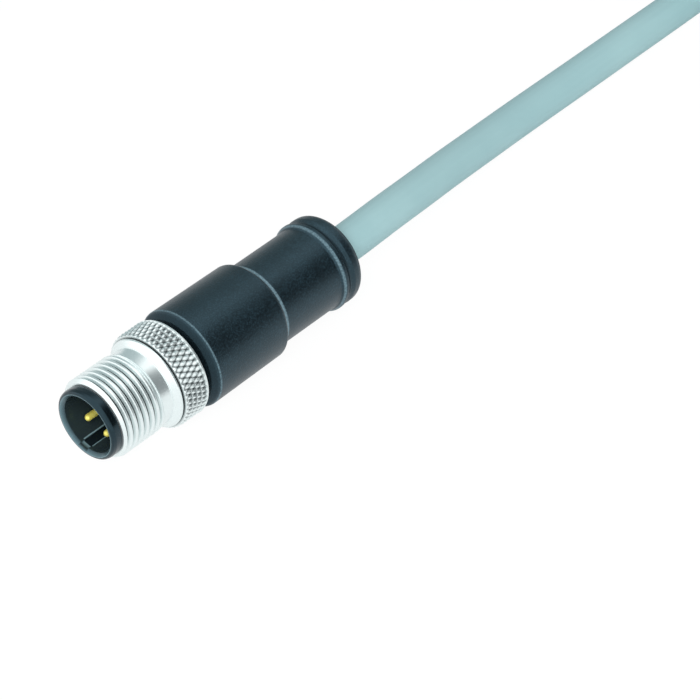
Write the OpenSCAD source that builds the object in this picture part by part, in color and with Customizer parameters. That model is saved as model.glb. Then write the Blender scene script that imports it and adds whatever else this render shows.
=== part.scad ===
// Straight circular sensor connector, male, size 12, four contacts, with a moulded
// grip and a round cable. It lies on its grip, with the contact face towards -X and
// the cable leaving towards +X. The unused cable is folded into a tied hank.
// The origin is under the middle of the connector, on the surface that it lies on.
//
// Places along the connector are stations: distances from the collar's front face.

/* [Contact carrier] */
// Outside diameter of the collar around the contacts
collar_d = 10.5; // [10.2:0.05:10.6]
// Inside diameter of the collar, where the mating half goes in
socket_d = 8.5; // [8.2:0.1:8.6]
// Depth of the collar's hollow
socket_depth = 8.6; // [7:0.1:12]
// Length of the collar's lip, which keeps the coupling ring on
lip_length = 1.55; // [1.2:0.05:2]
// Depth of the lead-in chamfer at the mouth of the collar
lead_in_depth = 0.5; // [0.2:0.05:0.6]
// Width of the lead-in chamfer
lead_in_width = 0.45; // [0.2:0.05:0.5]
// Diameter of the barrel that the coupling ring turns on
barrel_d = 10; // [9.8:0.05:10.1]
// Width of the keyway in the collar's inner wall
keyway_width = 1.4; // [1:0.1:1.8]
// Depth of the keyway below the inner wall
keyway_depth = 0.3; // [0.2:0.05:0.55]
// Angle of the keyway from straight down, towards +Y
keyway_turn = 12; // [-90:1:90]
// Diameter of the flange that locks the carrier into the grip
carrier_flange_d = 11.8; // [10.6:0.1:12]
// Length of that flange
carrier_flange_length = 1.5; // [1:0.1:2.5]

/* [Contacts] */
// Diameter of one contact pin
contact_d = 1.0; // [0.8:0.05:1.2]
// Diameter of the circle that the contact pins stand on
contact_circle = 5.0; // [4.6:0.1:5.4]
// How far the pins' tips lie behind the collar's front face
tip_recess = 2.1; // [1:0.05:3]
// Diameter of a contact's shank in the carrier, and of the solder cup behind it
shank_d = 1.6; // [1.5:0.05:1.8]
// Length of the solder cup
solder_cup_length = 3.4; // [2.5:0.1:4]

/* [Coupling ring] */
// Outside diameter of the coupling thread
thread_d = 12; // [11.8:0.05:12.2]
// Gap between the collar's lip and the front face of the ring
ring_front_gap = 0.1; // [0.05:0.05:0.3]
// Length of the thread from the ring's front face
thread_length = 7.1; // [6:0.1:8]
// Diameter of the plain neck behind the thread
ring_neck_d = 11.5; // [11.2:0.05:11.6]
// Length of the plain neck with the thread's run-out
ring_neck_length = 1.9; // [1.5:0.1:3]
// Diameter of the shoulder in front of the knurled band
shoulder_d = 13.4; // [13:0.1:13.8]
// Diameter over the knurled band
knurl_d = 14.45; // [14.1:0.05:14.6]
// Length of the knurled band with its edges
knurl_length = 4.35; // [3:0.05:8]
// Radial clearance between the ring and the barrel that it turns on
running_clearance = 0.08; // [0.05:0.01:0.1]

/* [Grip] */
// Gap between the back of the coupling ring and the front of the grip
grip_gap = 1.05; // [0.6:0.05:1.5]
// Diameter of the grip's front section
grip_d = 14.8; // [14.6:0.1:17]
// Length of the grip's front section
grip_front_length = 14.1; // [12:0.1:20]
// Diameter of the grip's rear section
grip_rear_d = 12.7; // [12:0.1:13.2]
// Length of the rear section with the slope down to it
grip_rear_length = 12; // [9:0.1:18]
// Diameter of the end flange
flange_d = 13.65; // [13.3:0.05:14.2]
// Length of the end flange
flange_length = 4.4; // [4:0.1:8]
// Width of the bevel round the grip's front edge
front_bevel = 0.95; // [0.4:0.05:1.2]
// Rounding of the flange's rear edge
rear_round = 2; // [0.5:0.1:2.4]

/* [Cable] */
// Diameter of the cable
cable_d = 5.7; // [5:0.1:6]
// Diameter of one insulated core
core_d = 1.3; // [1.1:0.05:1.4]
// Diameter of the bare strands of one core
strand_d = 0.76; // [0.6:0.02:0.9]
// Length of insulated core that stands out of the jacket at the cable's far end
core_end_length = 16; // [10:1:18]
// Length of tinned strands at the end of each core
tinned_length = 6; // [3:0.5:8]

/* [Hank] */
// Number of layers of cable in the hank
hank_layers = 5; // [3:1:6]
// Width of a tie around the hank
tie_width = 4; // [2.5:0.1:6]
// Thickness of a tie
tie_thickness = 0.8; // [0.5:0.1:1]

/* [Hidden] */

$fn = 64;
arc_steps = 6;
overcut = 1;

// Colours
carrier_black = "#1b2024";
contact_gold = "#d9b45a";
nickel = "#d4dadb";
grip_black = "#242a2f";
mould_grey = "#4a5156";
jacket_grey = "#9fb1b3";
tie_black = "#1c1e20";
strand_silver = "#c3c5c4";
core_brown = "#6b3f22";
core_white = "#e8e6df";
core_blue = "#2c5c9c";
core_black = "#161718";

// Coupling ring
ring_start = lip_length + ring_front_gap;
thread_chamfer = 0.5;
thread_end = ring_start + thread_length;
thread_runout = 0.25;
neck_end = thread_end + ring_neck_length;
neck_corner = 0.14;
shoulder_cone = 0.65;
shoulder_start = neck_end + shoulder_cone;
shoulder_length = 0.25;
shoulder_end = shoulder_start + shoulder_length;
groove_length = 0.2;
groove_depth = 0.25;
knurl_start = shoulder_end + groove_length;
knurl_edge = 0.2;
ring_end = knurl_start + knurl_length;

// Carrier
lip_edge = 0.3;
grip_start = ring_end + grip_gap;
carrier_flange_inset = 1.2;
carrier_flange_start = grip_start + carrier_flange_inset;
carrier_end = carrier_flange_start + carrier_flange_length;

// Contacts: they stand halfway between the keyway's direction and the ones across it
keyway_angle = keyway_turn;
contact_angles = [for (turn = [45, 135, 225, 315]) keyway_angle + turn];
cup_floor = 0.6;
cup_end = carrier_end + solder_cup_length;
solder_gap = 0.08;

// Grip
grip_front_end = grip_start + grip_front_length;
flange_start = grip_front_end + grip_rear_length;
connector_length = flange_start + flange_length;
axis_height = grip_d / 2;
grip_draft = 0.1;
step_slope = 60;
step_edge_round = 0.5;
step_root_round = 0.8;
flange_edge = 0.6;

// Inner moulding, and the cores from their contacts to the end of the jacket
inner_mould_d = carrier_flange_d - 1.2;
inner_mould_taper = 2;
core_start = cup_end + 0.6;
core_run = 8.2;
inner_mould_end = core_start + core_run;
core_circle = 2.7;

// Cable route. It leaves the grip level, comes down to the surface that the connector
// lies on, runs along it and rises a little into the hank, which lies on its ties
cable_r = cable_d / 2;
exit_x = connector_length / 2;
cable_lead = [
    [28, 0, axis_height], [32, 0.25, 7.25], [36, 0.6, 7], [44, 1.5, 6.1], [52, 2.6, 5],
    [60, 3.5, 4], [68, 4.15, 3.3], [76, 4.45, 2.95], [84, 4.5, 2.85], [98, 4.5, 2.85],
    [112, 4.5, 2.85], [122, 4.5, 3], [133, 4.5, 3.5], [143, 4.5, 3.65]
];
cable_route = concat([[exit_x, 0, axis_height]], cable_lead);
tail_route = [
    [180.5, -35.4, 3.65], [174.5, -34.5, 3.5], [168.5, -32.9, 3.1], [162.5, -30.6, 2.85],
    [157, -27.8, 2.85]
];
cable_sides = 12;
strand_sides = 8;

// Hank: two columns of cable side by side, folded round two centres
hank_x = 143;
hank_run = 44;
inner_fold = 17.3;
outer_fold = inner_fold + cable_d;
hank_y = 4.5 - outer_fold;
hank_outer_r = outer_fold + cable_r;
hank_inner_r = inner_fold - cable_r;
hank_width = hank_outer_r - hank_inner_r;
hank_height = hank_layers * cable_d;
near_tie_x = hank_x + hank_run / 2;
far_tie_inset = 6;
far_tie_x = hank_x + far_tie_inset;
tie_corner = 2;

// Core ends: each core's place across the cut jacket, [sideways, up], and how far to the
// side it comes to lie
core_end_steps = 6;
core_end_straight = 0.5;
core_end_sides = 8;
core_end_from = [[-0.9, -0.9], [-0.9, 0.9], [0.9, -0.9], [0.9, 0.9]];
core_end_to = [-4.8, -1.6, 1.6, 4.8];

// Points of an arc round a centre, from one angle to another
function arc(centre, radius, from, to) =
    [for (k = [0 : arc_steps])
        let (angle = from + (to - from) * k / arc_steps)
        centre + radius * [cos(angle), sin(angle)]];

// Point at an angle on a circle of the given diameter, across the axis
function on_circle(diameter, angle) = diameter / 2 * [cos(angle), sin(angle)];

// Unit vector along v
function unit(v) = v / norm(v);

// Rise from 0 to 1 that starts and ends level
function ease(t) = t * t * (3 - 2 * t);

// Direction of a route at its point k
function heading(route, k) =
    unit(route[min(k + 1, len(route) - 1)] - route[max(k - 1, 0)]);

// Where the cable ends, and the level directions along it and across it there
tail_end = tail_route[len(tail_route) - 1];
tail_step = tail_end - tail_route[len(tail_route) - 2];
tail_ahead = unit([tail_step[0], tail_step[1], 0]);
tail_across = [-tail_ahead[1], tail_ahead[0], 0];

// Ring of points around a route's point k
function ring_points(route, k, radius, sides) =
    let (
        ahead = heading(route, k),
        across = unit(cross(ahead, [0, 0, 1])),
        up = cross(across, ahead)
    )
    [for (i = [0 : sides - 1])
        let (angle = 360 * (i + 0.5) / sides)
        route[k] + radius * (cos(angle) * across + sin(angle) * up)];

// Point that lies ahead, sideways and up from the end of the tail, as its end faces
function beyond_tail(ahead, sideways, up) =
    tail_end + ahead * tail_ahead + sideways * tail_across + [0, 0, up];

// Route of one core's end, from the cut jacket to where it lies beside the others. It
// starts and ends with a short straight run, so that both its ends are square
function core_end_route(number) =
    let (
        from = core_end_from[number],
        to = [core_end_to[number], core_d / 2 - tail_end[2]],
        bent = core_end_length - 2 * core_end_straight
    )
    concat(
        [beyond_tail(0, from[0], from[1])],
        [for (k = [0 : core_end_steps])
            let (t = k / core_end_steps, place = from + ease(t) * (to - from))
            beyond_tail(core_end_straight + t * bent, place[0], place[1])],
        [beyond_tail(core_end_length, to[0], to[1])]
    );

// Tube of flat sides swept along a route, with flat ends
module swept_tube(route, diameter, sides) {
    rings = len(route);
    points = [for (k = [0 : rings - 1]) each ring_points(route, k, diameter / 2, sides)];
    walls = [for (k = [0 : rings - 2]) for (i = [0 : sides - 1])
        let (a = k * sides + i, b = k * sides + (i + 1) % sides)
        each [[a, b, b + sides], [a, b + sides, a + sides]]];
    front = [[for (i = [sides - 1 : -1 : 0]) i]];
    back = [[for (i = [0 : sides - 1]) (rings - 1) * sides + i]];
    polyhedron(points, concat(front, walls, back), convexity = 6);
}

// Stands what is drawn along +Z, from station 0 up, on the connector's axis
module along_axis() {
    translate([-connector_length / 2, 0, axis_height]) rotate([0, 90, 0]) children();
}

// Solid turned from an outline of [station, radius] points
module turned(outline) {
    rotate_extrude() polygon([for (p = outline) [p[1], p[0]]]);
}

module contact_carrier() {
    lip_r = collar_d / 2;
    barrel_r = barrel_d / 2;
    flange_r = carrier_flange_d / 2;
    socket_r = socket_d / 2;
    color(carrier_black) along_axis() difference() {
        turned([
            [0, socket_r + lead_in_width], [0, lip_r - lip_edge], [lip_edge, lip_r],
            [lip_length, lip_r], [lip_length, barrel_r], [carrier_flange_start, barrel_r],
            [carrier_flange_start, flange_r], [carrier_end, flange_r], [carrier_end, 0],
            [socket_depth, 0], [socket_depth, socket_r], [lead_in_depth, socket_r]
        ]);
        rotate(keyway_angle) translate([0, -keyway_width / 2, -overcut])
            cube([socket_r + keyway_depth, keyway_width, socket_depth + overcut]);
        for (angle = contact_angles)
            translate(concat(on_circle(contact_circle, angle), socket_depth - overcut))
                cylinder(d = shank_d, h = carrier_end);
    }
}

// One contact: a pin with a domed tip, a thicker shank that the carrier holds, and a
// solder cup behind the carrier
module contact_pin(number) {
    pin_r = contact_d / 2;
    color(contact_gold) along_axis()
        translate(on_circle(contact_circle, contact_angles[number])) difference() {
            union() {
                translate([0, 0, tip_recess + pin_r]) sphere(r = pin_r);
                translate([0, 0, tip_recess + pin_r])
                    cylinder(r = pin_r, h = socket_depth - tip_recess - pin_r);
                translate([0, 0, socket_depth]) cylinder(d = shank_d, h = cup_end - socket_depth);
            }
            translate([0, 0, carrier_end + cup_floor])
                cylinder(d = strand_d + 2 * solder_gap, h = solder_cup_length);
        }
}

module coupling_ring() {
    thread_r = thread_d / 2;
    neck_r = ring_neck_d / 2;
    shoulder_r = shoulder_d / 2;
    knurl_r = knurl_d / 2;
    color(nickel) along_axis() difference() {
        turned([
            [ring_start, 0], [ring_start, thread_r - thread_chamfer],
            [ring_start + thread_chamfer, thread_r], [thread_end - thread_runout, thread_r],
            [thread_end, neck_r], [neck_end, neck_r], [neck_end, thread_r - neck_corner],
            [neck_end + neck_corner, thread_r], [shoulder_start, shoulder_r],
            [shoulder_end, shoulder_r], [shoulder_end, shoulder_r - groove_depth],
            [knurl_start, shoulder_r - groove_depth], [knurl_start, knurl_r - knurl_edge],
            [knurl_start + knurl_edge, knurl_r], [ring_end - knurl_edge, knurl_r],
            [ring_end, knurl_r - knurl_edge], [ring_end, 0]
        ]);
        translate([0, 0, ring_start - overcut])
            cylinder(r = barrel_d / 2 + running_clearance, h = ring_end + 2 * overcut);
    }
}

// Outline of the grip's front section and the slope down from it, with rounded edges
function grip_front_outline() =
    let (
        front_r = grip_d / 2,
        back_r = front_r - grip_draft,
        rear_r = grip_rear_d / 2,
        turned_part = 1 - cos(step_slope),
        slope_drop = back_r - rear_r - (step_edge_round + step_root_round) * turned_part,
        edge_z = grip_front_end - step_edge_round * sin(step_slope),
        root_z = grip_front_end + slope_drop / tan(step_slope) + step_root_round * sin(step_slope)
    )
    concat(
        [[grip_start, front_r - front_bevel], [grip_start + front_bevel, front_r]],
        arc([edge_z, back_r - step_edge_round], step_edge_round, 90, 90 - step_slope),
        arc([root_z, rear_r + step_root_round], step_root_round, 270 - step_slope, 270)
    );

module grip() {
    flange_r = flange_d / 2;
    mould_r = inner_mould_d / 2;
    carrier_flange_r = carrier_flange_d / 2;
    color(grip_black) along_axis() turned(concat(
        [[grip_start, barrel_d / 2]],
        grip_front_outline(),
        [[flange_start, grip_rear_d / 2], [flange_start + flange_edge, flange_r]],
        arc([connector_length - rear_round, flange_r - rear_round], rear_round, 90, 0),
        [
            [connector_length, cable_r], [inner_mould_end, cable_r],
            [inner_mould_end, mould_r - inner_mould_taper],
            [inner_mould_end - inner_mould_taper, mould_r], [carrier_end, mould_r],
            [carrier_end, carrier_flange_r], [carrier_flange_start, carrier_flange_r],
            [carrier_flange_start, barrel_d / 2]
        ]
    ));
}

// Bare strands of one core, in the cup of its contact: a bundle with flat sides
module strands(number) {
    bottom = carrier_end + cup_floor;
    translate(concat(on_circle(contact_circle, contact_angles[number]), bottom))
        cylinder(d = strand_d, h = core_start - bottom, $fn = strand_sides);
}

// Insulated part of one core, which leans in from its contact to the end of the jacket
module insulation(number) {
    lean = (contact_circle - core_circle) / 2;
    intersection() {
        translate(concat(on_circle(contact_circle, contact_angles[number]), core_start))
            rotate(contact_angles[number]) rotate([0, -atan2(lean, core_run), 0])
                translate([0, 0, -overcut]) cylinder(d = core_d, h = core_run + 3 * overcut);
        translate([0, 0, core_start]) cylinder(d = inner_mould_d, h = core_run);
    }
}

// Moulding that seals the backs of the contacts and the cores
module inner_mould() {
    mould_r = inner_mould_d / 2;
    color(mould_grey) along_axis() difference() {
        turned([
            [carrier_end, 0], [carrier_end, mould_r],
            [inner_mould_end - inner_mould_taper, mould_r],
            [inner_mould_end, mould_r - inner_mould_taper], [inner_mould_end, 0]
        ]);
        for (number = [0 : 3]) {
            translate(concat(on_circle(contact_circle, contact_angles[number]),
                carrier_end - overcut))
                cylinder(d = shank_d, h = solder_cup_length + overcut);
            strands(number);
            insulation(number);
        }
    }
}

module core(number, shade) {
    color(shade) along_axis() {
        strands(number);
        insulation(number);
    }
}

// End of the cable's jacket that is moulded into the grip
module jacket_end() {
    color(jacket_grey) along_axis() translate([0, 0, inner_mould_end])
        cylinder(r = cable_r, h = connector_length - inner_mould_end);
}

module cable() {
    color(jacket_grey) swept_tube(cable_route, cable_d, cable_sides);
}

// Outline of a run with round ends around the hank's two fold centres
module hank_outline(radius) {
    translate([hank_x, hank_y]) circle(r = radius);
    translate([hank_x + hank_run, hank_y]) circle(r = radius);
    translate([hank_x, hank_y - radius]) square([hank_run, 2 * radius]);
}

module cable_hank() {
    color(jacket_grey) translate([0, 0, tie_thickness]) linear_extrude(hank_height)
        difference() {
            hank_outline(hank_outer_r);
            hank_outline(hank_inner_r);
        }
}

module cable_tail() {
    color(jacket_grey) swept_tube(tail_route, cable_d, cable_sides);
}

// Rectangle with round corners, with one corner at the origin
module round_corners(size, radius) {
    for (x = [radius, size[0] - radius]) for (y = [radius, size[1] - radius])
        translate([x, y]) circle(r = radius);
    translate([radius, 0]) square([size[0] - 2 * radius, size[1]]);
    translate([0, radius]) square([size[0], size[1] - 2 * radius]);
}

// Strap around the cables of one side of the hank; side is 1 for the side towards +Y
module hank_tie(x, side) {
    middle_y = hank_y + side * (hank_inner_r + hank_width / 2);
    inside = [hank_width, hank_height];
    strap = [tie_thickness, tie_thickness];
    color(tie_black)
        translate([x - tie_width / 2, middle_y - hank_width / 2, tie_thickness])
            rotate([90, 0, 90]) linear_extrude(tie_width) difference() {
                translate(-strap) round_corners(inside + 2 * strap, tie_corner);
                square(inside);
            }
}

module core_end(number, shade) {
    color(shade) swept_tube(core_end_route(number), core_d, core_end_sides);
}

module tinned_end(number) {
    color(strand_silver)
        translate(beyond_tail(core_end_length, core_end_to[number], core_d / 2 - tail_end[2]))
        rotate([0, 90, atan2(tail_ahead[1], tail_ahead[0])])
            cylinder(d = strand_d, h = tinned_length, $fn = strand_sides);
}

contact_carrier();
contact_pin(0);  // contact_pin_1
contact_pin(1);  // contact_pin_2
contact_pin(2);  // contact_pin_3
contact_pin(3);  // contact_pin_4
coupling_ring();
grip();
inner_mould();
core(0, core_brown);  // brown_core
core(1, core_white);  // white_core
core(2, core_blue);  // blue_core
core(3, core_black);  // black_core
jacket_end();
cable();
cable_hank();
cable_tail();
hank_tie(near_tie_x, 1);  // near_hank_tie
hank_tie(far_tie_x, -1);  // far_hank_tie
core_end(0, core_brown);  // brown_core_end
core_end(1, core_white);  // white_core_end
core_end(2, core_blue);  // blue_core_end
core_end(3, core_black);  // black_core_end
tinned_end(0);  // brown_tinned_end
tinned_end(1);  // white_tinned_end
tinned_end(2);  // blue_tinned_end
tinned_end(3);  // black_tinned_end
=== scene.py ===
"""Looks of a straight circular sensor connector on its cable.

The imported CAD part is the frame. This script dresses it: a nickel coupling ring with its
helical thread and diamond knurl, a black contact carrier with gold pins, a moulded grip
with a fine grain, and two metres of grey cable, which ends in a tied hank.

The connector lies along X, with its contacts towards -X. Places along it are stations:
distances from the front face of the collar round the contacts. Angles round the axis
start straight down and turn towards +Y.
"""

import logging
import math
from dataclasses import dataclass, field
from enum import Enum
from typing import Sequence

import bpy
import numpy as np
from mathutils import Matrix, Vector


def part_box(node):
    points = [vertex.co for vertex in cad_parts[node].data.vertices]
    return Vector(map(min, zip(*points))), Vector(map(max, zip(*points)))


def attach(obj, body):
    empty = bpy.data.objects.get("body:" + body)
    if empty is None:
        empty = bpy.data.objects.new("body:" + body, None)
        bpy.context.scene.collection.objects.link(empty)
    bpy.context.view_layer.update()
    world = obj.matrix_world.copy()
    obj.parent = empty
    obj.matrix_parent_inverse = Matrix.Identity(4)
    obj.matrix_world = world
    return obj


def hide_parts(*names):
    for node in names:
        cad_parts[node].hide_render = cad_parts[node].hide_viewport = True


MM = 0.001
LOG = logging.getLogger("connector")

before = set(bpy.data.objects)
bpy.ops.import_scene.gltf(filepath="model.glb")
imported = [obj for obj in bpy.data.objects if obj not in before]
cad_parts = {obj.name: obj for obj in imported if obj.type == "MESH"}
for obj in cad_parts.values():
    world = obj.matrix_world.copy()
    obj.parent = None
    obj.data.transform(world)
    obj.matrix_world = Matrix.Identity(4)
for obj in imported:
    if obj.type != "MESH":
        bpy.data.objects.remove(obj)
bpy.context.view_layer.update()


class Body(str, Enum):
    """Moving bodies of the part, named as in its record."""

    CONNECTOR = "connector"
    RING = "coupling_ring"


class Slot(str, Enum):
    """Material slots of the part, named as in its record."""

    CARRIER = "carrier_plastic"
    GOLD = "contact_gold"
    NICKEL = "ring_nickel"
    GRIP = "grip_plastic"
    BROWN = "core_brown"
    WHITE = "core_white"
    BLUE = "core_blue"
    BLACK = "core_black"
    JACKET = "cable_jacket"
    TIE = "tie_plastic"
    TINNED = "tinned_strands"


# ---------------------------------------------------------------- profiles and surfaces


@dataclass(frozen=True)
class Corner:
    """One corner of a turned profile.

    Attributes:
        station: place along the axis, in mm.
        radius: distance from the axis, in mm.
        fillet: radius of the round at this corner, in mm.
    """

    station: float
    radius: float
    fillet: float = 0.0


def rounded_profile(corners: Sequence[Corner], arc_points: int = 5) -> np.ndarray:
    """Works out the points of a profile whose corners are rounded.

    At a corner P with unit directions a and b towards its neighbours, the round of radius
    r starts t = r / tan(half the angle between a and b) away from P, and its centre lies
    on the line that halves that angle.

    Args:
        corners: the corners in order along the profile.
        arc_points: number of points on each round.

    Returns:
        An array of [station, radius] rows, in mm.
    """
    places = np.array([(c.station, c.radius) for c in corners])
    points = [places[0]]
    for before, here, after, corner in zip(places, places[1:], places[2:], corners[1:]):
        back, ahead = before - here, after - here
        room = 0.49 * min(np.linalg.norm(back), np.linalg.norm(ahead))
        back, ahead = back / np.linalg.norm(back), ahead / np.linalg.norm(ahead)
        half = 0.5 * math.acos(float(np.clip(back @ ahead, -1.0, 1.0)))
        if corner.fillet <= 0.0 or half > math.radians(89.5):
            points.append(here)
            continue
        reach = min(corner.fillet / math.tan(half), room)
        radius = reach * math.tan(half)
        middle = (back + ahead) / np.linalg.norm(back + ahead)
        centre = here + middle * radius / math.sin(half)
        start, end = here + back * reach - centre, here + ahead * reach - centre
        turn = math.pi - 2.0 * half
        share = np.linspace(0.0, 1.0, arc_points)[:, None]
        arc = (np.sin((1.0 - share) * turn) * start + np.sin(share * turn) * end)
        points.extend(centre + arc / math.sin(turn))
    points.append(places[-1])
    return np.array(points)


def refine(profile: np.ndarray, start: float, end: float, step: float) -> np.ndarray:
    """Adds evenly spaced points to the outer stretch of a profile between two stations.

    Args:
        profile: [station, radius] rows; stations rise between start and end.
        start: first station of the stretch, in mm.
        end: last station of the stretch, in mm.
        step: distance between the points, in mm.

    Returns:
        The profile with the stretch's own points replaced by the even ones.
    """
    before = profile[profile[:, 0] < start - 1e-6]
    after = profile[profile[:, 0] > end + 1e-6]
    stations = np.linspace(start, end, int(round((end - start) / step)) + 1)
    radii = np.interp(stations, profile[:, 0], profile[:, 1])
    return np.vstack([before, np.column_stack([stations, radii]), after])


def turned_surface(stations: np.ndarray, radii: np.ndarray, angles: np.ndarray,
                   axis: np.ndarray) -> np.ndarray:
    """Places a turned surface: x = station, y = r sin(angle), z = axis height - r cos(angle).

    Args:
        stations: places along the axis, one per row or one per point, in mm.
        radii: distances from the axis, one per row or one per point, in mm.
        angles: angles round the axis, one per column or one per point, in radians.
        axis: the point of the axis at station 0, in metres.

    Returns:
        An array of rows x columns x 3 points, in metres.
    """
    shape = np.broadcast_shapes(np.shape(stations), np.shape(radii), np.shape(angles))
    s, r, a = (np.broadcast_to(v, shape) for v in (stations, radii, angles))
    offsets = np.stack([s, r * np.sin(a), -r * np.cos(a)], axis=-1) * MM
    return axis + offsets


@dataclass
class Skin:
    """Faces of one piece, gathered patch by patch.

    Attributes:
        points: vertex arrays of the patches.
        faces: quad arrays of the patches.
        runs: the three numbers that each vertex carries for its material. On a cable or
            a core they are its place along and across it, as if it were straight.
        count: number of vertices so far.
    """

    points: list[np.ndarray] = field(default_factory=list)
    faces: list[np.ndarray] = field(default_factory=list)
    runs: list[np.ndarray] = field(default_factory=list)
    count: int = 0

    def grid(self, points: np.ndarray, wrap_columns: bool = True,
             wrap_rows: bool = False, run: np.ndarray | None = None) -> "Skin":
        """Adds a grid of points as quads, which face along (columns) x (rows).

        Args:
            points: rows x columns x 3 array, in metres.
            wrap_columns: whether the last column joins the first.
            wrap_rows: whether the last row joins the first.
            run: rows x columns x 3 array that the vertices carry, if any.

        Returns:
            This skin, so that calls can be chained.
        """
        rows, columns = points.shape[:2]
        index = np.arange(rows * columns).reshape(rows, columns)
        if wrap_columns:
            index = np.column_stack([index, index[:, 0]])
        if wrap_rows:
            index = np.vstack([index, index[0]])
        quads = np.stack([index[:-1, :-1], index[:-1, 1:], index[1:, 1:], index[1:, :-1]], -1)
        self.points.append(points.reshape(-1, 3))
        self.faces.append(quads.reshape(-1, 4) + self.count)
        self.runs.append((points if run is None else run).reshape(-1, 3))
        self.count += rows * columns
        return self

    def piece(self, name: str, body: Body, slot: Slot, replaces: Sequence[str] = (),
              sharp_angle: float = 40.0) -> bpy.types.Object:
        """Makes the piece's object, welds its seams and poles, and hands it to its body.

        Args:
            name: the object's name.
            body: the body that it moves with.
            slot: the record's material slot of the piece; not used.
            replaces: CAD nodes that it stands for.
            sharp_angle: edges that turn more than this stay sharp, in degrees.

        Returns:
            The new object, at the origin.
        """
        mesh = bpy.data.meshes.new(name)
        points = np.vstack(self.points)
        kept, faces = welded(points, np.vstack(self.faces))
        mesh.from_pydata(points[kept].tolist(), [], faces)
        mesh.polygons.foreach_set("use_smooth", np.ones(len(faces), dtype=bool))
        run = mesh.attributes.new("run", "FLOAT_VECTOR", "POINT")
        run.data.foreach_set("vector", np.vstack(self.runs)[kept].astype(np.float32).ravel())
        mesh.update()
        mesh.set_sharp_from_angle(angle=math.radians(sharp_angle))
        obj = bpy.data.objects.new(name, mesh)
        bpy.context.scene.collection.objects.link(obj)
        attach(obj, body.value)
        if replaces:
            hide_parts(*replaces)
        LOG.info("%s: %d faces, rides on %s", name, len(faces), body.value)
        return obj


def welded(points: np.ndarray, faces: np.ndarray) -> tuple[np.ndarray, list[list[int]]]:
    """Joins points that share a place, and drops the faces' doubled corners.

    Args:
        points: vertex rows, in metres.
        faces: quad rows.

    Returns:
        Which points are kept, and the faces as lists of three or four of their places.
    """
    _, first, place = np.unique(np.round(points / 1e-7).astype(np.int64), axis=0,
                                return_index=True, return_inverse=True)
    corners = place.reshape(-1)[faces]
    same = corners == np.roll(corners, 1, axis=1)
    kept = (~same).sum(axis=1)
    quads = corners[kept == 4].tolist()
    thin = kept == 3
    triangles = corners[thin][~same[thin]].reshape(-1, 3).tolist()
    return first, quads + triangles


# ---------------------------------------------------------------------- shader writing


class Wire:
    """A socket's output in a node tree, on which arithmetic adds Math nodes."""

    def __init__(self, tree: bpy.types.NodeTree, socket: bpy.types.NodeSocket) -> None:
        """Keeps the tree and the socket."""
        self.tree = tree
        self.socket = socket

    def maths(self, operation: str, *others: "Wire | float") -> "Wire":
        """Adds a Math node.

        Args:
            operation: the node's operation.
            *others: its second and third values.

        Returns:
            The node's result.
        """
        return self._between(operation, (self, *others))

    def _between(self, operation: str, values: Sequence["Wire | float"]) -> "Wire":
        """Adds a Math node on the given values, in order."""
        node = self.tree.nodes.new("ShaderNodeMath")
        node.operation = operation
        for socket, value in zip(node.inputs, values):
            if isinstance(value, Wire):
                self.tree.links.new(value.socket, socket)
            else:
                socket.default_value = value
        return Wire(self.tree, node.outputs[0])

    def __add__(self, other: "Wire | float") -> "Wire":
        """Sum."""
        return self._between("ADD", (self, other))

    __radd__ = __add__

    def __sub__(self, other: "Wire | float") -> "Wire":
        """Difference."""
        return self._between("SUBTRACT", (self, other))

    def __rsub__(self, other: "Wire | float") -> "Wire":
        """Difference, the other way round."""
        return self._between("SUBTRACT", (other, self))

    def __mul__(self, other: "Wire | float") -> "Wire":
        """Product."""
        return self._between("MULTIPLY", (self, other))

    __rmul__ = __mul__

    def __abs__(self) -> "Wire":
        """Size without sign."""
        return self._between("ABSOLUTE", (self,))

    def band(self, low: float, high: float) -> "Wire":
        """Rises smoothly from 0 at low to 1 at high, or falls if low is the larger."""
        node = self.tree.nodes.new("ShaderNodeMapRange")
        node.interpolation_type = "SMOOTHSTEP"
        self.tree.links.new(self.socket, node.inputs["Value"])
        node.inputs["From Min"].default_value = low
        node.inputs["From Max"].default_value = high
        return Wire(self.tree, node.outputs["Result"])


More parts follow.
